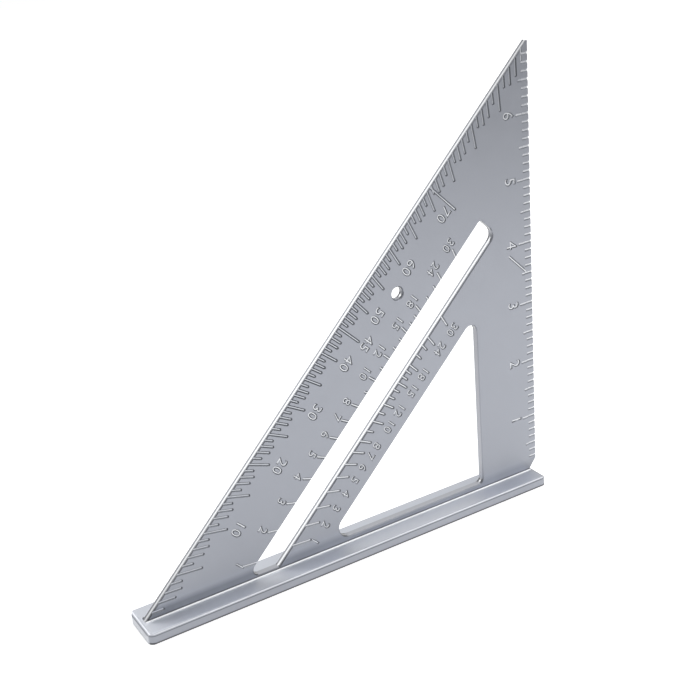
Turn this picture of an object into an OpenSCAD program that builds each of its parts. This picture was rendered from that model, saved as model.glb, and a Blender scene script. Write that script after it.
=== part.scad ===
// Rafter square: a right triangle of plate standing in a T-shaped fence bar.
// The blade lies in the XZ plane with the fence along X, and +Z is up.
// Places on the blade are given as u, from the upright edge towards the toe,
// and v, up from the guide face on top of the fence.

/* [Blade] */
// Length of both legs of the triangle, measured from the pivot corner
leg = 179.7; // [150:0.1:205]
// Thickness of the blade plate
blade_t = 3.1; // [2.2:0.1:4.5]
// Radius of the tip
tip_r = 0.3; // [0.1:0.1:1.2]
// Width of the bevel along the edges of both faces
edge_bevel = 0.35; // [0.1:0.05:0.5]
// How far the blade's foot is set back from the upright edge at the pivot
pivot_cut_u = 3.4; // [1:0.1:5]
// Height at which the sloping cut at the pivot meets the upright edge
pivot_cut_v = 4.9; // [2:0.1:7]
// Height at which the sloping cut at the pivot meets the set-back foot
pivot_cut_foot = 0.5; // [0.1:0.1:1.5]

/* [Openings] */
// Width of the bar along the hypotenuse, square to it
rim_w = 27.9; // [24:0.1:30]
// Width of the slanted slot, square to it
slot_w = 10; // [8:0.1:13]
// Distance along the hypotenuse from its middle to the slot's upper end
slot_reach = 64.7; // [50:0.1:66]
// Height of the slot's floor over the guide face
slot_floor = 1.3; // [1.1:0.1:3]
// Radius of the slot's corner nearest the tip
slot_tip_r = 1.5; // [0.5:0.1:3]
// Radius of the slot's corner nearest the pivot
slot_pivot_r = 4; // [1:0.1:4.5]
// Radius of the sharp corner at the slot's foot, on the side of the window
slot_foot_r = 0.8; // [0.5:0.1:1.5]
// Radius of the slot's corner nearest the toe
slot_toe_r = 2.5; // [1:0.1:3.5]
// Width of the second slanted bar, square to it
inner_bar_w = 13.8; // [11:0.1:17]
// Width of the upright bar beside the triangular window
upright_w = 28.2; // [24:0.1:34]
// Height of the window's floor over the guide face
window_floor = 2.7; // [1.2:0.1:5]
// Radius of the window's square corner
window_r = 2; // [0.5:0.1:4]
// Radius of the window's corner nearest the tip
window_tip_r = 3; // [1:0.1:5]
// Radius of the window's corner nearest the toe
window_toe_r = 4.5; // [1:0.1:6]
// Diameter of the hanging hole
hole_d = 5; // [3:0.1:8]
// Distance of the hanging hole from the middle of its bar, towards the tip
hole_along = 23; // [10:0.1:45]

/* [Fence] */
// Width of the fence, across both guide faces
fence_w = 19; // [12:0.1:26]
// Height of the fence
fence_h = 4.5; // [3.2:0.1:8]
// How far the fence runs past the blade's toe
toe_over = 2.2; // [0.8:0.1:6]
// How far the fence stops short of the upright edge
pivot_under = 0.8; // [0:0.1:2.5]
// Rounding of the fence's upper long edges
fence_edge_r = 0.8; // [0.3:0.1:1.4]
// Rounding of the fence's lower edges
fence_foot_r = 0.4; // [0.2:0.1:0.6]
// Rounding of the fence's upright corners
fence_corner_r = 3; // [0.5:0.1:4]
// Rounding over the top of the fence's pivot end
pivot_nose_r = 2.4; // [0.6:0.1:2.5]
// Rounding over the top of the fence's toe end
toe_nose_r = 1.8; // [0.4:0.1:2.5]
// Depth of the groove that the blade's foot stands in
groove_depth = 1.8; // [1:0.1:2.2]
// Side clearance of the foot in the groove
groove_gap = 0.05; // [0.02:0.01:0.2]
// Radius of the fillet along the foot of the blade
fillet_r = 0.6; // [0.4:0.1:0.7]
// Flat top left on the fillet beside the blade
fillet_flat = 0.15; // [0.05:0.01:0.4]

/* [Graduations] */
// Width of an engraved line at the surface
line_w = 1.2; // [0.6:0.05:1.4]
// Width of an engraved line's floor
line_floor = 0.4; // [0.1:0.05:0.5]
// Depth of an engraved line
line_d = 0.4; // [0.2:0.05:0.6]
// Width of the ruling strip along the upright edge
strip_w = 3.6; // [2:0.1:5]
// Depth of the ruling strip's step
strip_d = 0.25; // [0.1:0.05:0.4]
// Length of the lines at eighths, halves and whole inches
inch_lines = [3.5, 5.3, 6.6]; // [2:0.1:8]
// Length of the degree lines: plain, second from a fifth, fifth, and the one at 45
degree_lines = [3.5, 5.1, 7.9, 11.6]; // [2:0.1:14]
// Length of the common rafter lines: plain, numbered, and the first
common_lines = [1.9, 3.8, 4.9]; // [1:0.1:7]
// Length of the hip and valley lines: plain, numbered, and the first
hip_lines = [3.1, 5, 6.1]; // [1:0.1:8]
// How much longer than its wall the common rafter scale is laid out
common_stretch = 11.7; // [0:0.1:12]
// How far both rafter scales are set towards the tip
scale_shift = 2; // [0:0.1:3]
// Height of the diagonal set line's foot over the guide face
set_line_v = 86.6; // [70:0.1:100]
// Where the set line starts, measured along the fence from the upright edge
set_line_start = 2; // [1:0.1:4]
// Stretches of the fence that the set line's lower and upper parts stand over
set_line_parts = [9, 11]; // [6:0.1:14]

/* [Hidden] */
metal = "#9ea2aa";
over = 1;
// How far a line's cut starts outside its edge
lead = 0.7;
// How far a shallow cut stands out of the surface that it opens
lift = 0.1;
root2 = sqrt(2);
// Sums u + v of the slanted walls, from the hypotenuse inwards
slot_outer = leg - rim_w * root2;
slot_inner = slot_outer - slot_w * root2;
window_outer = slot_inner - inner_bar_w * root2;
// Difference v - u at the slot's upper end
slot_end = slot_reach * root2;
foot_end = leg - groove_depth;
x_pivot = (leg + toe_over) / 2;

inch = 25.4;
last_degree = 89;
// Rise of the rafter over its run, in inches, at each line and at each numbered line
rises = [for (n = [1:30]) if (n <= 18 || n == 20 || n == 22 || n == 24 || n == 30) n];
numbered = [1, 2, 3, 4, 5, 6, 7, 8, 10, 12, 15, 18, 24, 30];
common_run = 12;
hip_run = common_run * root2;

slot_points = [
    [slot_outer - slot_end, slot_outer + slot_end] / 2,
    [slot_inner - slot_end, slot_inner + slot_end] / 2,
    [slot_inner - slot_floor, slot_floor],
    [slot_outer - slot_floor, slot_floor]];
slot_radii = [slot_tip_r, slot_pivot_r, slot_foot_r, slot_toe_r];
window_points = [
    [upright_w, window_floor],
    [window_outer - window_floor, window_floor],
    [upright_w, window_outer - upright_w]];
window_radii = [window_r, window_toe_r, window_tip_r];
// Centre of the hanging hole, on the middle line of its bar
hole_at = let (middle = (leg + slot_outer) / 4, shift = hole_along / root2)
    [middle - shift, middle + shift];

// Start, end and centre of the arc that rounds one corner of an outline
function corner(prev, here, next, r) =
    let (a = (prev - here) / norm(prev - here),
         b = (next - here) / norm(next - here),
         half = acos(a * b) / 2)
    [here + a * r / tan(half), here + b * r / tan(half),
     here + (a + b) / norm(a + b) * r / sin(half)];

function corners(points, radii) =
    let (n = len(points))
    [for (i = [0:n - 1]) corner(points[(i + n - 1) % n], points[i], points[(i + 1) % n], radii[i])];

// Outline whose corners are rounded by the radii given beside them
module rounded(points, radii) {
    bends = corners(points, radii);
    polygon([for (bend = bends) each [bend[0], bend[1]]]);
    for (i = [0:len(bends) - 1])
        translate(bends[i][2]) circle(r = radii[i], $fn = 48);
}

// Puts a flat drawing of the blade, thick in z, into its place on the fence
module on_blade() {
    translate([x_pivot, blade_t / 2, fence_h]) mirror([1, 0, 0]) rotate([90, 0, 0]) children();
}

module blade_outline() {
    tip = corner([leg, 0], [0, leg], [0, 0], tip_r);
    polygon([
        [pivot_cut_u, -groove_depth], [foot_end, -groove_depth], [foot_end, 0], [leg, 0],
        tip[0], tip[1], [0, pivot_cut_v], [pivot_cut_u, pivot_cut_foot]]);
    translate(tip[2]) circle(r = tip_r, $fn = 48);
}

// Cut that bevels the upper face's edge along a wall, whose open side is on the left
module wall_bevel(from, to) {
    run = to - from;
    reach = edge_bevel + lift;
    translate([from.x, from.y, blade_t]) rotate([0, 0, atan2(run.y, run.x)]) rotate([90, 0, 90])
        linear_extrude(norm(run))
            polygon([[-reach, lift], [lift, -reach], [lift, lift]]);
}

// Cut that bevels the upper face's edge round a hole or a round corner
module round_bevel(centre, r) {
    translate([centre.x, centre.y, blade_t - edge_bevel - lift])
        cylinder(h = edge_bevel + 2 * lift, r1 = r - lift, r2 = r + edge_bevel + lift, $fn = 48);
}

module opening_bevel(points, radii) {
    bends = corners(points, radii);
    n = len(bends);
    for (i = [0:n - 1]) {
        round_bevel(bends[i][2], radii[i]);
        wall_bevel(bends[i][1], bends[(i + 1) % n][0]);
    }
}

// Bevel along the hypotenuse, the upright edge and the sloping cut at the pivot
module outline_bevel() {
    past = [over, -over];
    wall_bevel([0, leg] - past, [leg, 0] + past);
    wall_bevel([0, pivot_cut_v], [0, leg + over]);
    wall_bevel([pivot_cut_u, pivot_cut_foot], [0, pivot_cut_v]);
}

// Groove from a point along an angle, as a tapered cutter leaves it, with a round end
module engraved(start, angle, length, surface) {
    taper = (line_w - line_floor) / 2 / line_d;
    half_floor = line_floor / 2;
    half_top = line_w / 2 + lift * taper;
    translate([start.x, start.y, surface]) rotate([0, 0, angle]) {
        rotate([90, 0, 90]) linear_extrude(length)
            polygon([[-half_top, lift], [-half_floor, -line_d], [half_floor, -line_d], [half_top, lift]]);
        translate([length, 0, -line_d])
            cylinder(h = line_d + lift, r1 = half_floor, r2 = half_top, $fn = 24);
    }
}

// Line that starts on an edge at a point and runs into the face at an angle
module line_from(edge_point, angle, length) {
    engraved(edge_point - [cos(angle), sin(angle)] * lead, angle, length + lead - line_w / 2, blade_t);
}

module inch_scale() {
    step = inch / 8;
    for (k = [1:floor((leg - step) / step)]) {
        size = k % 8 == 0 ? inch_lines[2] : k % 4 == 0 ? inch_lines[1] : inch_lines[0];
        translate([0, 0, -strip_d]) line_from([0, k * step], 0, min(size, strip_w));
        if (size > strip_w) line_from([strip_w, k * step], 0, size - strip_w);
    }
}

module degree_scale() {
    for (a = [1:last_degree]) {
        place = a % 5;
        size = a == 45 ? degree_lines[3]
            : place == 0 ? degree_lines[2]
            : place == 2 || place == 3 ? degree_lines[1] : degree_lines[0];
        edge = leg / (cos(a) + sin(a));
        line_from([cos(a), sin(a)] * edge, a + 180, size / cos(a - 45));
    }
}

// Rafter scale along the slanted wall with u + v = sum. Each line leans as its rafter does
module rafter_scale(sum, layout, run, sizes, inward) {
    for (n = rises) {
        size = n == 1 ? sizes[2] : len(search(n, numbered)) > 0 ? sizes[1] : sizes[0];
        slope = n / run;
        along = layout * (slope - 1) / (slope + 1) + scale_shift;
        angle = atan(slope);
        line_from([sum - along, sum + along] / 2, inward ? angle + 180 : angle, size / cos(angle - 45));
    }
}

// Line for setting out at 45 degrees, broken by the slot and by a bare stretch
module set_line() {
    along = [1, 1];
    foot = [0, set_line_v] + along * set_line_start;
    engraved(foot, 45, set_line_parts[0] * root2, blade_t);
    line_from([0, set_line_v] + along * (leg - set_line_v) / 2, 225, set_line_parts[1] * root2);
}

// Everything that is cut into one face of the blade
module face_cuts() {
    inch_scale();
    degree_scale();
    rafter_scale(slot_outer, slot_outer + common_stretch, common_run, common_lines, false);
    rafter_scale(slot_inner, slot_inner, hip_run, hip_lines, true);
    set_line();
    translate([-over, pivot_cut_v, blade_t - strip_d]) cube([strip_w + over, leg, over]);
    opening_bevel(slot_points, slot_radii);
    opening_bevel(window_points, window_radii);
    outline_bevel();
    round_bevel(hole_at, hole_d / 2);
}

module blade() {
    color(metal) on_blade() difference() {
        linear_extrude(blade_t) difference() {
            blade_outline();
            rounded(slot_points, slot_radii);
            rounded(window_points, window_radii);
        }
        translate([hole_at.x, hole_at.y, -over])
            cylinder(h = blade_t + 2 * over, d = hole_d, $fn = 48);
        face_cuts();
        translate([0, 0, blade_t]) mirror([0, 0, 1]) face_cuts();
    }
}

// Bar of the fence: its cross-section, plan and side outline cut from each other
module fence_bar() {
    length = leg + toe_over - pivot_under;
    half = fence_w / 2;
    toe = x_pivot - pivot_under - length;
    intersection() {
        translate([toe, 0, 0]) rotate([90, 0, 90]) linear_extrude(length)
            rounded([[-half, 0], [half, 0], [half, fence_h], [-half, fence_h]],
                    [fence_foot_r, fence_foot_r, fence_edge_r, fence_edge_r]);
        translate([toe, -half, -over]) linear_extrude(fence_h + 2 * over)
            rounded([[0, 0], [length, 0], [length, fence_w], [0, fence_w]],
                    [1, 1, 1, 1] * fence_corner_r);
        translate([toe, half + over, 0]) rotate([90, 0, 0]) linear_extrude(fence_w + 2 * over)
            rounded([[0, 0], [length, 0], [length, fence_h], [0, fence_h]],
                    [fence_foot_r, fence_foot_r, pivot_nose_r, toe_nose_r]);
    }
}

// Concave fillet on one side of the blade's foot
module foot_fillet() {
    side = blade_t / 2 + groove_gap;
    width = fillet_flat + fillet_r;
    translate([x_pivot - leg, 0, fence_h]) rotate([90, 0, 90]) linear_extrude(leg - pivot_cut_u)
        difference() {
            translate([side, -over]) square([width, fillet_r + over]);
            translate([side + width, fillet_r]) circle(r = fillet_r, $fn = 32);
        }
}

module fence() {
    color(metal) difference() {
        union() {
            fence_bar();
            foot_fillet();
            mirror([0, 1, 0]) foot_fillet();
        }
        translate([x_pivot - foot_end - groove_gap, -blade_t / 2 - groove_gap, fence_h - groove_depth])
            cube([foot_end - pivot_cut_u + 2 * groove_gap, blade_t + 2 * groove_gap,
                  groove_depth + fillet_r + over]);
    }
}

blade();
fence();
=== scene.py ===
# %% [markdown]
# # A rafter square in satin aluminium
#
# A rafter square is a triangle of plate standing in a T-shaped fence bar. The
# solids, with every engraved line, come from the imported model. This lesson
# gives them their looks: the finish of the metal, the engraved numerals beside
# the lines, the soft light and the camera. The first cell loads the solids of the model.

import math

import bmesh
import bpy
from mathutils import Matrix, Vector


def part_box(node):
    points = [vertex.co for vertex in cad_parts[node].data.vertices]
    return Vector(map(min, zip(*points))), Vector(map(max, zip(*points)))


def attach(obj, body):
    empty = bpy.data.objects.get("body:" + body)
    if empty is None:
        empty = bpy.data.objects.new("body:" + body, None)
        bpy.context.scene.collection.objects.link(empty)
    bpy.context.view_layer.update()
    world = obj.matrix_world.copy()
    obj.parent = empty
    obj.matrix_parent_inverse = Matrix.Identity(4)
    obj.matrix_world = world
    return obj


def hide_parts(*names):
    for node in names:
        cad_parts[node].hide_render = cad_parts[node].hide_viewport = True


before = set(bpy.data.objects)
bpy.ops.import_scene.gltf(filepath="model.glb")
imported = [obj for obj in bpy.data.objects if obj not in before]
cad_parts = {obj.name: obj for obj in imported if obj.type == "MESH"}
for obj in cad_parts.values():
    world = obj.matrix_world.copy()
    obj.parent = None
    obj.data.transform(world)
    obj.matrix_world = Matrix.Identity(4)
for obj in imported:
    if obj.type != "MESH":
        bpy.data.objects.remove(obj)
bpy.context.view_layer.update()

# %% [markdown]
# The places of the numerals follow from a few sizes of the real tool, in
# metres. They are the legs of the triangle and the width of its bars, and the
# way its two rafter scales are laid out. The rest is worked out from them and
# from the loaded solids. On the blade a place is given as u, from the upright
# edge towards the toe, and v, up from the guide face on top of the fence.

# %% Driving sizes
MM = 0.001
INCH = 25.4 * MM
LEG = 179.7 * MM
TOE_OVER = 2.2 * MM
FENCE_HEIGHT = 4.5 * MM
RIM_WIDTH = 27.9 * MM
SLOT_WIDTH = 10.0 * MM
COMMON_STRETCH = 11.7 * MM
SCALE_SHIFT = 2.0 * MM
ROOT2 = math.sqrt(2)

slot_outer = LEG - RIM_WIDTH * ROOT2
slot_inner = slot_outer - SLOT_WIDTH * ROOT2
pivot_x = (LEG + TOE_OVER) / 2
blade_low, blade_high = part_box("blade")
half_blade = (blade_high.y - blade_low.y) / 2
print("blade", round(2 * half_blade / MM, 2), "mm thick, upright edge at x =", round(pivot_x, 4))

# %% [markdown]
# Every colour is written as an sRGB hex value, as a colour picker shows it.
# Blender's shaders count in linear light, so one function turns the first
# into the second. A second helper adds a node to a material: it sets the
# node's own settings and gives each input a value or a link. A Mix node keeps
# its two colours and their mixture in sockets that are best found by number,
# so these three numbers get names.

# %% Colours and nodes
def colour(hex_code):
    channels = [int(hex_code[i:i + 2], 16) / 255 for i in (1, 3, 5)]
    linear = [c / 12.92 if c <= 0.04045 else ((c + 0.055) / 1.055) ** 2.4 for c in channels]
    return (*linear, 1.0)


def add_node(tree, kind, settings=None, inputs=None):
    """Adds a node, sets its properties, and gives its inputs a value or a link."""
    made = tree.nodes.new(kind)
    for name, value in (settings or {}).items():
        setattr(made, name, value)
    for name, value in (inputs or {}).items():
        if isinstance(value, bpy.types.NodeSocket):
            tree.links.new(value, made.inputs[name])
        else:
            made.inputs[name].default_value = value
    return made


def new_material(name):
    material = bpy.data.materials.new(name)
    material.use_nodes = True
    material.node_tree.nodes.clear()
    return material, material.node_tree


WHITE = colour("#ffffff")
MIX_FIRST = 6
MIX_SECOND = 7
MIX_RESULT = 2
print("mid grey in linear light", round(colour("#a3a6ae")[0], 3))

# %% [markdown]
# The floor is a plain pale sheet of studio paper. A product photograph shows
# it as pure white, and more light would wash out the metal. So the paper
# glows for the rays that come from the camera, just enough to lift its dimmest
# part to white. Under the glow its own shading stays, but the soft shadow of
# the tool is too pale to show through it, as in the photograph.
#
# The metal sees the paper too. In the photograph the blade is lighter at its
# foot than at its tip, most likely because the tip mirrors paper that lies
# further away, outside the pool of light. So for the metal a pool of light is
# painted on the paper: it glows near the tool, and further away it turns to a painted darker grey.

# %% Paper for the floor
FLOOR_SIZE = 8.0
PAPER = "#f4f4f4"
CAMERA_GLOW = 0.65
# the painted darker grey that the metal sees on the paper far from the tool
PAINTED_DIM_PAPER = "#c6c6c6"
# the glow of the painted pool of light that the metal sees near the tool
PAINTED_POOL_GLOW = 0.36
POOL_PLACE = (0.20, -0.05, 0)
POOL_NEAR = 0.15
POOL_FAR = 0.65


def studio_paper():
    material, tree = new_material("studio_paper_matt")
    path = add_node(tree, "ShaderNodeLightPath")
    place = add_node(tree, "ShaderNodeTexCoord")
    distance = add_node(tree, "ShaderNodeVectorMath", {"operation": "DISTANCE"},
                        {0: place.outputs["Object"], 1: POOL_PLACE})
    far = add_node(tree, "ShaderNodeMapRange", {"interpolation_type": "SMOOTHSTEP"},
                   {"Value": distance.outputs["Value"], "From Min": POOL_NEAR,
                    "From Max": POOL_FAR})
    bounced = add_node(tree, "ShaderNodeMath", {"operation": "MAXIMUM"},
                       {0: path.outputs["Is Glossy Ray"], 1: path.outputs["Is Transmission Ray"]})
    # outside the painted pool of light the metal sees the paper in a painted darker grey
    dim_share = add_node(tree, "ShaderNodeMath", {"operation": "MULTIPLY"},
                     {0: bounced.outputs[0], 1: far.outputs["Result"]})
    pool = add_node(tree, "ShaderNodeMath", {"operation": "SUBTRACT"},
                    {0: bounced.outputs[0], 1: dim_share.outputs[0]})
    for_metal = add_node(tree, "ShaderNodeMath", {"operation": "MULTIPLY"},
                         {0: pool.outputs[0], 1: PAINTED_POOL_GLOW})
    glow = add_node(tree, "ShaderNodeMath", {"operation": "MULTIPLY_ADD"},
                    {0: path.outputs["Is Camera Ray"], 1: CAMERA_GLOW, 2: for_metal.outputs[0]})
    tone = add_node(tree, "ShaderNodeMix", {"data_type": "RGBA"},
                    {0: dim_share.outputs[0], MIX_FIRST: colour(PAPER), MIX_SECOND: colour(PAINTED_DIM_PAPER)})
    paper = add_node(tree, "ShaderNodeBsdfDiffuse", None, {"Color": tone.outputs[MIX_RESULT]})
    light = add_node(tree, "ShaderNodeEmission", None, {"Color": WHITE, "Strength": glow.outputs[0]})
    both = add_node(tree, "ShaderNodeAddShader", None, {0: paper.outputs[0], 1: light.outputs[0]})
    add_node(tree, "ShaderNodeOutputMaterial", None, {"Surface": both.outputs[0]})
    return material


bpy.ops.object.select_all(action="DESELECT")
bpy.ops.mesh.primitive_plane_add(size=FLOOR_SIZE, location=(0, 0, 0))
floor = bpy.context.object
floor.name = "studio_floor"
floor.data.materials.append(studio_paper())
print("floor", FLOOR_SIZE, "m wide, laid at z = 0")

# %% [markdown]
# The camera stands above and to the left of the tool, on the toe's side. Its
# place was found from the photograph: the inch scale and the straight edges
# fix a pinhole camera to within a few pixels. The frame is tipped by five
# degrees, a roll of the camera about its own axis.

# %% Camera
CAMERA_PLACE = Vector((-0.19238, -0.35227, 0.25685))
CAMERA_TARGET = Vector((0.00493, -0.00155, 0.08438))
CAMERA_ROLL = math.radians(-4.97)
LENS_MM = 61.135
SENSOR_MM = 36
NEAREST_SHOWN = 0.01

camera_data = bpy.data.cameras.new("camera")
camera_data.lens = LENS_MM
camera_data.sensor_width = SENSOR_MM
camera_data.clip_start = NEAREST_SHOWN
camera = bpy.data.objects.new("camera", camera_data)
bpy.context.scene.collection.objects.link(camera)
gaze = (CAMERA_TARGET - CAMERA_PLACE).to_track_quat("-Z", "Y").to_matrix().to_4x4()
camera.matrix_world = (Matrix.Translation(CAMERA_PLACE) @ gaze
                       @ Matrix.Rotation(CAMERA_ROLL, 4, "Z"))
bpy.context.scene.camera = camera
print("camera", round((CAMERA_TARGET - CAMERA_PLACE).length, 3), "m from the tool")

# %% [markdown]
# Aluminium shows what stands around it, so the studio matters as much as the
# metal. The world is a plain pale tent, and four soft boxes hang in it. The one
# overhead lifts nearly every face, most the top of the fence. The one at the
# back on the left lights the slanted edge and the end at the toe, and the
# dim one at the back on the right adds a little to the top of the fence. The
# one at the front on the right does most. Together with the painted highlights
# there, it gives the fillet at the foot of the blade and the rounded edge of the
# fence their white lines, and reaches into the corner at the foot, which would
# stay dark without it. The Standard view shows each colour as it is written.

# %% World and lamps
WORLD_STRENGTH = 0.35
TENT_IN_METAL = 0.45
LAMP_AIM = Vector((0, 0, 0.06))


def white_tent():
    world = bpy.data.worlds.new("white_tent")
    world.use_nodes = True
    tree = world.node_tree
    tree.nodes.clear()
    path = add_node(tree, "ShaderNodeLightPath")
    bounced = add_node(tree, "ShaderNodeMath", {"operation": "MAXIMUM"},
                       {0: path.outputs["Is Glossy Ray"], 1: path.outputs["Is Transmission Ray"]})
    metal = add_node(tree, "ShaderNodeMapRange", None,
                     {"Value": bounced.outputs[0], "To Min": WORLD_STRENGTH,
                      "To Max": TENT_IN_METAL})
    strength = add_node(tree, "ShaderNodeMath", {"operation": "MAXIMUM"},
                        {0: metal.outputs["Result"], 1: path.outputs["Is Camera Ray"]})
    white = add_node(tree, "ShaderNodeBackground", None,
                     {"Color": WHITE, "Strength": strength.outputs[0]})
    add_node(tree, "ShaderNodeOutputWorld", None, {"Surface": white.outputs[0]})
    return world


def soft_box(name, place, size, radiance):
    """A rectangular lamp turned to the tool: its place and size in metres, its brightness."""
    lamp = bpy.data.lights.new(name, "AREA")
    lamp.shape = "RECTANGLE"
    lamp.size, lamp.size_y = size
    lamp.energy = radiance * math.pi * size[0] * size[1]
    box = bpy.data.objects.new(name, lamp)
    bpy.context.scene.collection.objects.link(box)
    turn = (LAMP_AIM - Vector(place)).to_track_quat("-Z", "Y").to_matrix().to_4x4()
    box.matrix_world = Matrix.Translation(place) @ turn


bpy.context.scene.world = white_tent()
soft_box("overhead_box", place=(0.35, 0.15, 1.3), size=(1.4, 1.0), radiance=1.3)
soft_box("left_back_box", place=(-0.62, 1.05, 0.78), size=(0.9, 0.9), radiance=2.2)
soft_box("right_back_box", place=(0.68, 1.05, 0.55), size=(1.0, 0.7), radiance=0.5)
soft_box("right_front_box", place=(0.57, -1.08, 0.74), size=(1.25, 0.62), radiance=2.9)
bpy.context.scene.view_settings.view_transform = "Standard"

# %% [markdown]
# The room behind the camera is darker than the paper, so a large grey card
# stands there. The edges and groove walls that mirror it turn a little darker,
# which sharpens the engraving. Only the metal sees it: it casts no shadow and
# the camera looks past it.

# %% The grey card
CARD_GREY = 0.30
CARD_PLACE = (-1.0, -0.95, 0.60)
CARD_SIZE = (2.2, 1.16)


def grey_card():
    material, tree = new_material("card_grey")
    light = add_node(tree, "ShaderNodeEmission", None, {"Color": WHITE, "Strength": CARD_GREY})
    add_node(tree, "ShaderNodeOutputMaterial", None, {"Surface": light.outputs[0]})
    return material


bpy.ops.object.select_all(action="DESELECT")
bpy.ops.mesh.primitive_plane_add(size=1, location=CARD_PLACE, rotation=(math.radians(90), 0, 0))
card = bpy.context.object
card.name = "grey_card"
card.scale = (*CARD_SIZE, 1)
card.data.materials.append(grey_card())
card.visible_camera = False
card.visible_diffuse = False
card.visible_shadow = False
print("grey card of", CARD_SIZE, "m, behind the camera")

# %% [markdown]
# The metal is aluminium plate and bar, tumbled until the faces are satin. Before
# the metal itself come two helpers for what changes its tone along the bar.
#
# The first is for level bands of painted light and shade. The top of the bar
# is painted lighter, and its rounded upper edges and the fillets at the blade's
# foot get painted highlights. Painted shade lies in the corner above a fillet,
# under the rounded edge and along the lower edge, and over the whole foot of the
# blade. A band is a range of heights over the floor, so one loop lays them all.
# A band can fade on its way from the toe, where it is full, to the upright edge at the pivot.

# %% Bands of painted light and shade along the bar
# painted shade: over the foot of the blade, in the corner above its fillet, along the lower edge and
# under the rounded upper edge
FOOT_SHADE = (-1.0, 8.8, 1.2, "#808389", 0.3)
FOOT_CORNER_SHADE = (5.0, 5.55, 0.08, "#66686c", 0.8)
LOWER_EDGE_SHADE = (-0.1, 0.78, 0.08, "#6a6c70", 1.0)
UPPER_EDGE_SHADE = (3.3, 3.75, 0.08, "#8a8d93", 1.0)
# painted light: a highlight on the rounded upper edge, a lighter top and a highlight on the fillets
UPPER_EDGE_HIGHLIGHT = (4.08, 4.34, 0.08, "#d8dadf", 1.0)
TOP_PAINTED_LIGHT = (4.46, 4.6, 0.04, "#dcdfe6", 0.5)
FILLET_HIGHLIGHT = (4.7, 5.3, 0.06, "#f6f7f8", 1.0)
BLADE_BANDS = (FOOT_SHADE, FOOT_CORNER_SHADE)
FENCE_BANDS = (LOWER_EDGE_SHADE, UPPER_EDGE_SHADE, UPPER_EDGE_HIGHLIGHT, TOP_PAINTED_LIGHT, FILLET_HIGHLIGHT)


def with_bands(tree, place, tint, bands):
    """Lays bands over a tint: low, high and soft in mm, the tone, the share left at the pivot."""
    axes = add_node(tree, "ShaderNodeSeparateXYZ", None, {0: place.outputs["Object"]})
    for low, high, soft, band_hex, at_pivot in bands:
        middle = (low + high) / 2 * MM
        half = (high - low) / 2 * MM
        away = add_node(tree, "ShaderNodeMath", {"operation": "SUBTRACT"},
                        {0: axes.outputs["Z"], 1: middle})
        off = add_node(tree, "ShaderNodeMath", {"operation": "ABSOLUTE"}, {0: away.outputs[0]})
        inside = add_node(tree, "ShaderNodeMapRange", None,
                          {"Value": off.outputs[0], "From Min": half + soft * MM,
                           "From Max": half - soft * MM})
        along = add_node(tree, "ShaderNodeMapRange", None,
                         {"Value": axes.outputs["X"], "From Min": -pivot_x,
                          "From Max": pivot_x, "To Min": 1.0, "To Max": at_pivot})
        share = add_node(tree, "ShaderNodeMath", {"operation": "MULTIPLY"},
                         {0: inside.outputs["Result"], 1: along.outputs["Result"]})
        band = add_node(tree, "ShaderNodeMix", {"data_type": "RGBA"},
                        {0: share.outputs[0], MIX_FIRST: tint, MIX_SECOND: colour(band_hex)})
        tint = band.outputs[MIX_RESULT]
    return tint


print("bands on the blade:", len(BLADE_BANDS), "and on the fence:", len(FENCE_BANDS))

# %% [markdown]
# The second is for the two ends of the bar, which get a paler painted light.
# A face is part of an end where its normal points along the bar, and
# round the corners the paler tone blends into the rest.

# %% Ends painted paler
# painted light on the two ends of the bar
END_PAINTED_LIGHT = "#e0e2e7"
END_BEGINS = 0.80
END_IS_FULL = 0.95


def with_ends(tree, place, tint, end_hex):
    """Gives the faces that look along the bar, its two ends, a paler painted light."""
    facing = add_node(tree, "ShaderNodeSeparateXYZ", None, {0: place.outputs["Normal"]})
    square = add_node(tree, "ShaderNodeMath", {"operation": "ABSOLUTE"}, {0: facing.outputs["X"]})
    end = add_node(tree, "ShaderNodeMapRange", None,
                   {"Value": square.outputs[0], "From Min": END_BEGINS, "From Max": END_IS_FULL})
    tone = add_node(tree, "ShaderNodeMix", {"data_type": "RGBA"},
                    {0: end.outputs["Result"], MIX_FIRST: tint, MIX_SECOND: colour(end_hex)})
    return tone.outputs[MIX_RESULT]


# the ends of the bar are painted paler
print("sawn ends in", END_PAINTED_LIGHT)

# %% [markdown]
# Now the metal. Tumbled aluminium is a cool mid grey with a soft, slightly
# clouded gloss and a grain too fine to see as single scratches. The clouds are
# just under a centimetre wide, and one noise gives them to the tone and the
# gloss alike. The grain is a fifth of a millimetre wide, coarser than the real
# one, because a finer one wouldn't show at all. The fence is less glossy than
# the blade.

# %% Satin aluminium
CLOUD_WIDTH = 9 * MM
CLOUD_LOW = 0.3
CLOUD_HIGH = 0.7
GRAIN_WIDTH = 0.2 * MM
GRAIN_HEIGHT = 0.02 * MM


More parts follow.
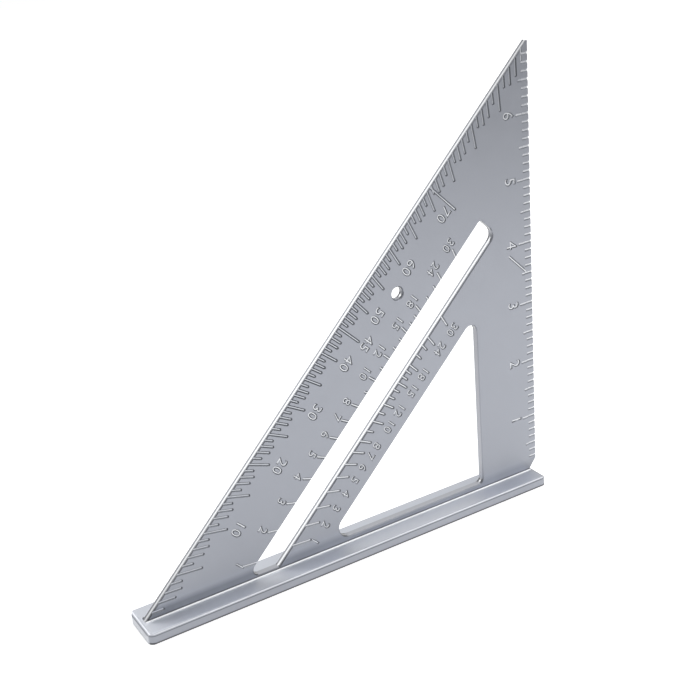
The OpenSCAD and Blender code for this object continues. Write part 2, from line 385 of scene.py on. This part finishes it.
def satin_aluminium(name, base_hex, cloud_hex, rough=0.36, rough_spread=0.03, bump=0.2,
                    bands=(), end_hex=None):
    """Tumbled aluminium: a clouded grey metal with a fine even grain."""
    material, tree = new_material(name)
    place = add_node(tree, "ShaderNodeTexCoord")
    clouds = add_node(tree, "ShaderNodeTexNoise", None,
                      {"Vector": place.outputs["Object"], "Scale": 1 / CLOUD_WIDTH,
                       "Detail": 4.0, "Roughness": 0.55})
    tint = add_node(tree, "ShaderNodeMix", {"data_type": "RGBA"},
                    {0: clouds.outputs["Fac"], MIX_FIRST: colour(base_hex),
                     MIX_SECOND: colour(cloud_hex)})
    gloss = add_node(tree, "ShaderNodeMapRange", None,
                     {"Value": clouds.outputs["Fac"], "From Min": CLOUD_LOW,
                      "From Max": CLOUD_HIGH, "To Min": rough - rough_spread,
                      "To Max": rough + rough_spread})
    grain = add_node(tree, "ShaderNodeTexNoise", None,
                     {"Vector": place.outputs["Object"], "Scale": 1 / GRAIN_WIDTH,
                      "Detail": 2.0, "Roughness": 0.6})
    relief = add_node(tree, "ShaderNodeBump", None,
                      {"Height": grain.outputs["Fac"], "Strength": bump,
                       "Distance": GRAIN_HEIGHT})
    tone = with_bands(tree, place, tint.outputs[MIX_RESULT], bands)
    if end_hex:
        tone = with_ends(tree, place, tone, end_hex)
    metal = add_node(tree, "ShaderNodeBsdfPrincipled", None,
                     {"Base Color": tone, "Roughness": gloss.outputs["Result"],
                      "Normal": relief.outputs["Normal"], "Metallic": 1.0})
    add_node(tree, "ShaderNodeOutputMaterial", None, {"Surface": metal.outputs[0]})
    return material


blade_metal = satin_aluminium("aluminium_plate_tumbled", "#a6a9b1", "#aaadb5",
                              rough_spread=0.04, bump=0.3, bands=BLADE_BANDS)
fence_metal = satin_aluminium("aluminium_bar_tumbled", "#b0b3bb", "#b5b8c0", rough=0.50,
                              rough_spread=0.05, bump=0.3, bands=FENCE_BANDS, end_hex=END_PAINTED_LIGHT)
print("metals:", blade_metal.name, fence_metal.name)

# %% [markdown]
# An engraved groove doesn't look like the face around it. Its floor gets a
# painted highlight and its walls painted shade, so each line and each numeral
# shows a light stroke with a darker outline. The many degree lines along the
# hypotenuse get a duller painted highlight on their floors and darker painted
# shade on their walls. The slanted edges of the plate get a painted highlight
# along the middle and painted shade towards the two faces, as on a rounded edge.
# So there are two metals for floors, two for walls and two for edges. The edge
# metal with painted shading takes its darker sides from the place across the plate.

# %% Grooves and edges, with painted highlights and shade
# painted highlight in the middle of the plate's thickness, painted shade towards its faces
EDGE_MIDDLE = -0.2 * MM
EDGE_HIGHLIGHT_TO = 0.2 * MM
EDGE_SHADE_FROM = 0.7 * MM


def milled_edge(name, bright_hex, dark_hex, rough):
    """Aluminium with a painted highlight in the middle of the plate and painted shade at its faces.
    """
    material, tree = new_material(name)
    place = add_node(tree, "ShaderNodeTexCoord")
    axes = add_node(tree, "ShaderNodeSeparateXYZ", None, {0: place.outputs["Object"]})
    away = add_node(tree, "ShaderNodeMath", {"operation": "SUBTRACT"},
                    {0: axes.outputs["Y"], 1: EDGE_MIDDLE})
    off_middle = add_node(tree, "ShaderNodeMath", {"operation": "ABSOLUTE"}, {0: away.outputs[0]})
    share = add_node(tree, "ShaderNodeMapRange", {"interpolation_type": "SMOOTHSTEP"},
                     {"Value": off_middle.outputs[0], "From Min": EDGE_HIGHLIGHT_TO,
                      "From Max": EDGE_SHADE_FROM})
    tint = add_node(tree, "ShaderNodeMix", {"data_type": "RGBA"},
                    {0: share.outputs["Result"], MIX_FIRST: colour(bright_hex),
                     MIX_SECOND: colour(dark_hex)})
    metal = add_node(tree, "ShaderNodeBsdfPrincipled", None,
                     {"Base Color": tint.outputs[MIX_RESULT], "Roughness": rough, "Metallic": 1.0})
    add_node(tree, "ShaderNodeOutputMaterial", None, {"Surface": metal.outputs[0]})
    return material


# groove floors get a painted highlight and groove walls painted shade; the degree lines have their
# own pair
floor_highlight_metal = satin_aluminium("groove_floor_painted_highlight", "#e4e6ea", "#e9ebef", rough=0.34)
degree_floor_highlight_metal = satin_aluminium("degree_floor_painted_highlight", "#c6c9cf", "#cccfd5")
degree_wall_shade_metal = satin_aluminium("degree_wall_painted_shade", "#75787e", "#84878d")
wall_shade_metal = satin_aluminium("groove_wall_painted_shade", "#84878d", "#919499")
# slanted edges: painted highlight in the middle, painted shade at the faces
edge_shading_metal = milled_edge("edge_painted_highlight_and_shade", "#cbccce", "#7d7f83", rough=0.36)
side_metal = satin_aluminium("aluminium_edge_tumbled", "#b6b8be", "#bcbec4", rough=0.40)
metals = (blade_metal, floor_highlight_metal, degree_floor_highlight_metal, wall_shade_metal, degree_wall_shade_metal, edge_shading_metal, side_metal)
PLATE, FLOOR_HIGHLIGHT, DEGREE_FLOOR_HIGHLIGHT, WALL_SHADE, DEGREE_WALL_SHADE, EDGE_SHADING, SIDE = range(len(metals))
print("metals:", [metal.name for metal in metals])

# %% [markdown]
# The numerals are engraved in the blade beside their lines. On the real tool
# each one is a shallow groove with slanted walls, not ink. Each number is
# written as a text with a chamfer on its edge, made a mesh and turned to its
# place on the face. The chamfer gives the groove its slanted walls. It also
# widens the strokes, so their outline is drawn in a little first.

# %% Writing one number
NUMBER_DEPTH = 0.32 * MM
NUMBER_CORE = 0.01 * MM
NUMBER_THIN = -0.10 * MM
NUMBER_SPACING = 1.12
CURVE_STEPS = 3


def number_text(text, u, v, size, turn_degrees, back):
    """A number as a thin solid that reaches into the blade's front or back at u, v."""
    bpy.ops.object.select_all(action="DESELECT")
    bpy.ops.object.text_add(location=(0, 0, 0))
    number = bpy.context.object
    number.data.body = text
    number.data.align_x = "CENTER"
    number.data.align_y = "CENTER"
    number.data.size = size
    number.data.extrude = NUMBER_CORE
    number.data.bevel_depth = NUMBER_DEPTH
    number.data.bevel_resolution = 0
    number.data.offset = NUMBER_THIN
    number.data.space_character = NUMBER_SPACING
    number.data.resolution_u = CURVE_STEPS
    bpy.ops.object.convert(target="MESH")
    number = bpy.context.object
    across = (u - pivot_x) if back else (pivot_x - u)
    on_face = Matrix.Translation((across, v + FENCE_HEIGHT, half_blade))
    spin = Matrix.Rotation(math.radians(turn_degrees), 4, "Z")
    upright = Matrix.Rotation(math.radians(90), 4, "X")
    turned = Matrix.Rotation(math.radians(180 if back else 0), 4, "Z")
    middle = sum((Vector(c) for c in number.bound_box), Vector()) / len(number.bound_box)
    centre = Matrix.Translation((-middle.x, -middle.y, 0))
    number.data.transform(turned @ upright @ on_face @ spin @ centre)
    return number


print("numbers", round(NUMBER_DEPTH / MM, 2), "mm deep")

# %% [markdown]
# The degree numerals stand at the inner ends of their lines, on a row that runs
# along the hypotenuse. Only the one at 45 stands further in, clear of its
# longer line. The rafter numerals stand at the ends of their lines on both
# sides of the slot. The common rafters are on the side of the hypotenuse, the
# hip and valley rafters on the other, and lengths square to the slot count
# towards the hypotenuse. Each number is the rise of the roof in inches over
# twelve inches of run, or over about seventeen for a hip.

# %% Where the numbers stand
DEGREES = (10, 20, 30, 40, 45, 50, 60, 70)
DEGREE_ROW = 12.0 * MM
DEGREE_ROW_45 = 14.9 * MM
DEGREE_LINE = 7.9 * MM
DEGREE_SHIFT = 1.2 * MM
NUMBERED_RISES = (1, 2, 3, 4, 5, 6, 7, 8, 10, 12, 15, 18, 24, 30)
COMMON_RUN = 12
HIP_RUN = COMMON_RUN * ROOT2
COMMON_ROW = 6.1 * MM
HIP_ROW = -8.1 * MM
COMMON_LINE = 3.8 * MM
HIP_LINE = -5.0 * MM
FIRST_LONGER = 1.1 * MM


def slanted_place(total, difference):
    """The place u, v with the given sum u + v and difference v - u."""
    return (total - difference) / 2, (total + difference) / 2


def spread(slope):
    """v - u as a share of u + v on a ray of the given slope from the pivot."""
    return (slope - 1) / (slope + 1)


def degree_places():
    """Each degree numeral with its place u, v."""
    for angle in DEGREES:
        inner = LEG - DEGREE_LINE * ROOT2
        along = inner * spread(math.tan(math.radians(angle))) + DEGREE_SHIFT * ROOT2
        row = DEGREE_ROW_45 if angle == 45 else DEGREE_ROW
        yield (str(angle), *slanted_place(LEG - row * ROOT2, along))


def rafter_places(wall, layout, run, row, line):
    """Each rafter numeral with its place u, v, beside the slot's wall where u + v is wall."""
    for rise in NUMBERED_RISES:
        share = spread(rise / run)
        reach = line + math.copysign(FIRST_LONGER if rise == 1 else 0, line)
        along = layout * share + SCALE_SHIFT + reach * ROOT2 * share
        yield (str(rise), *slanted_place(wall + row * ROOT2, along))


print("degree numbers", [p[0] for p in degree_places()])

# %% [markdown]
# Now the numbers are written on both faces. Seen from behind, the toe is on
# the right, so each number's turn, in degrees, is another one there, and all
# still read properly. The inch numbers stand on end, with their tops to the
# upright edge. All of them together are joined into one cutter.

# %% Write every number
DEGREE_SIZE = 6.0 * MM
RAFTER_SIZE = 5.2 * MM
INCH_SIZE = 6.8 * MM
INCH_ROW = 9.8 * MM
INCH_LIFT = 0.5 * MM
INCH_NUMBERS = range(1, 7)
FRONT, BACK = False, True
SLANT_TURN = {FRONT: 225, BACK: 135}
INCH_TURN = {FRONT: -90, BACK: 90}

common_places = list(rafter_places(slot_outer, slot_outer + COMMON_STRETCH, COMMON_RUN,
                                   COMMON_ROW, COMMON_LINE))
hip_places = list(rafter_places(slot_inner, slot_inner, HIP_RUN, HIP_ROW, HIP_LINE))
cutters = []
for back in (FRONT, BACK):
    for place in degree_places():
        cutters.append(number_text(*place, DEGREE_SIZE, SLANT_TURN[back], back))
    for place in common_places + hip_places:
        cutters.append(number_text(*place, RAFTER_SIZE, SLANT_TURN[back], back))
    for inches in INCH_NUMBERS:
        cutters.append(number_text(str(inches), INCH_ROW, inches * INCH + INCH_LIFT, INCH_SIZE,
                                   INCH_TURN[back], back))
bpy.ops.object.select_all(action="DESELECT")
for number in cutters:
    number.select_set(True)
bpy.context.view_layer.objects.active = cutters[0]
bpy.ops.object.join()
number_cutter = bpy.context.object
print("numbers written:", len(cutters))

# %% [markdown]
# The blade of the model stays as it is, and a copy takes its place in the
# picture. The copy starts as loose triangles, so points that lie within a
# thousandth of a millimetre of each other are merged into one. Then a Boolean
# modifier cuts the numbers out of it.

# %% The engraved blade
SAME_PLACE = 1e-6


def merged_copy(node, name):
    """A copy of a solid of the model as one closed mesh."""
    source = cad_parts[node]
    copy = bpy.data.objects.new(name, source.data.copy())
    bpy.context.scene.collection.objects.link(copy)
    shape = bmesh.new()
    shape.from_mesh(copy.data)
    bmesh.ops.remove_doubles(shape, verts=shape.verts, dist=SAME_PLACE)
    shape.to_mesh(copy.data)
    shape.free()
    return copy


engraved = merged_copy("blade", "engraved_blade")
bpy.ops.object.select_all(action="DESELECT")
engraved.select_set(True)
bpy.context.view_layer.objects.active = engraved
cut = engraved.modifiers.new("numbers", "BOOLEAN")
cut.operation = "DIFFERENCE"
cut.solver = "EXACT"
cut.use_self = True
cut.object = number_cutter
bpy.ops.object.modifier_apply(modifier=cut.name)
bpy.data.objects.remove(number_cutter)
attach(engraved, "root")
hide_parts("blade")
print("engraved blade:", len(engraved.data.polygons), "faces")

# %% [markdown]
# The faces of the blade get different metals, so each kind has to be told from
# the others. A normal says how a face stands: its share along Y is near 1 on
# the flat of the plate and on the floor of a groove, and near 0 on an edge
# that is square to the plate. A groove's floor also lies at a known depth, and
# a groove's walls are the slanted faces that start at such a floor.

# %% Floors, walls and edges
LINE_DEPTH = 0.4 * MM
STRIP_DEPTH = 0.25 * MM
DEPTH_MARGIN = 0.02 * MM
FLAT = 0.99
WALL_LEAST = 0.3
WALL_MOST = 0.95
FLUSH = 0.97
SLANTED = 0.3
SQUARE_TO_PLATE = 0.2


def is_floor(face, *depths):
    """Whether a flat face lies at one of these depths under the blade's face."""
    depth = half_blade - abs(face.calc_center_median().y)
    near = min(abs(depth - wanted) for wanted in depths) < DEPTH_MARGIN
    return abs(face.normal.y) > FLAT and near


def beside(face):
    return (other for edge in face.edges for other in edge.link_faces)


def walls_of(floors):
    """The slanted faces that start at the floors, with what is flush with them."""
    walls = set()
    found = {other for face in floors for other in beside(face)
             if WALL_LEAST < abs(other.normal.y) < WALL_MOST}
    while found:
        walls |= found
        found = {other for face in found for other in beside(face)
                 if other not in walls and face.normal.dot(other.normal) > FLUSH}
    return walls


def is_edge(face):
    return abs(face.normal.y) < SQUARE_TO_PLATE


def is_slanted(face):
    return min(abs(face.normal.x), abs(face.normal.z)) > SLANTED


engraved_shape = bmesh.new()
engraved_shape.from_mesh(engraved.data)
engraved_shape.normal_update()
floors = {face for face in engraved_shape.faces
          if is_floor(face, LINE_DEPTH, STRIP_DEPTH + LINE_DEPTH, NUMBER_DEPTH)}
walls = walls_of(floors)
print("groove floors:", len(floors), "groove walls:", len(walls))

# %% [markdown]
# The place of a groove says which marks it belongs to. Near the hypotenuse
# these are the degree lines, and near the upright edge the inch lines, which
# were cut deepest and whose upper walls get the same painted highlight as their
# floors. The slanted edges of the plate get the painted highlight and shade,
# and where they are level or upright they are only tumbled.

# %% Give every face its metal
STRIP_WIDTH = 3.6 * MM
INCH_LINE = 6.7 * MM


def is_degree(face):
    """Whether a face is part of a degree line, which starts at the hypotenuse."""
    place = face.calc_center_median()
    u, v = pivot_x - place.x, place.z - FENCE_HEIGHT
    return u > STRIP_WIDTH and (LEG - u - v) / ROOT2 < DEGREE_LINE


def is_inch_roof(face):
    """Whether a face is the upper wall of an inch line, which looks down."""
    near = pivot_x - face.calc_center_median().x < INCH_LINE
    return near and face.normal.z < -SLANTED and not is_slanted(face)


engraved.data.materials.clear()
for metal in metals:
    engraved.data.materials.append(metal)
for face in engraved_shape.faces:
    if face in floors:
        face.material_index = DEGREE_FLOOR_HIGHLIGHT if is_degree(face) else FLOOR_HIGHLIGHT
    # the upper walls of the inch lines get the floors' painted highlight
    elif face in walls and is_inch_roof(face):
        face.material_index = FLOOR_HIGHLIGHT
    elif face in walls:
        face.material_index = DEGREE_WALL_SHADE if is_degree(face) else WALL_SHADE
    elif is_edge(face):
        face.material_index = EDGE_SHADING if is_slanted(face) else SIDE
    else:
        face.material_index = PLATE
engraved_shape.to_mesh(engraved.data)
engraved_shape.free()
print("metals on the blade:", len(engraved.data.materials))

# %% [markdown]
# The fence of the model has the right shape already, so it only gets its
# metal.

# %% Dress the fence
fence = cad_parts["fence"]
fence.data.materials.clear()
fence.data.materials.append(fence_metal)
print("fence dressed")
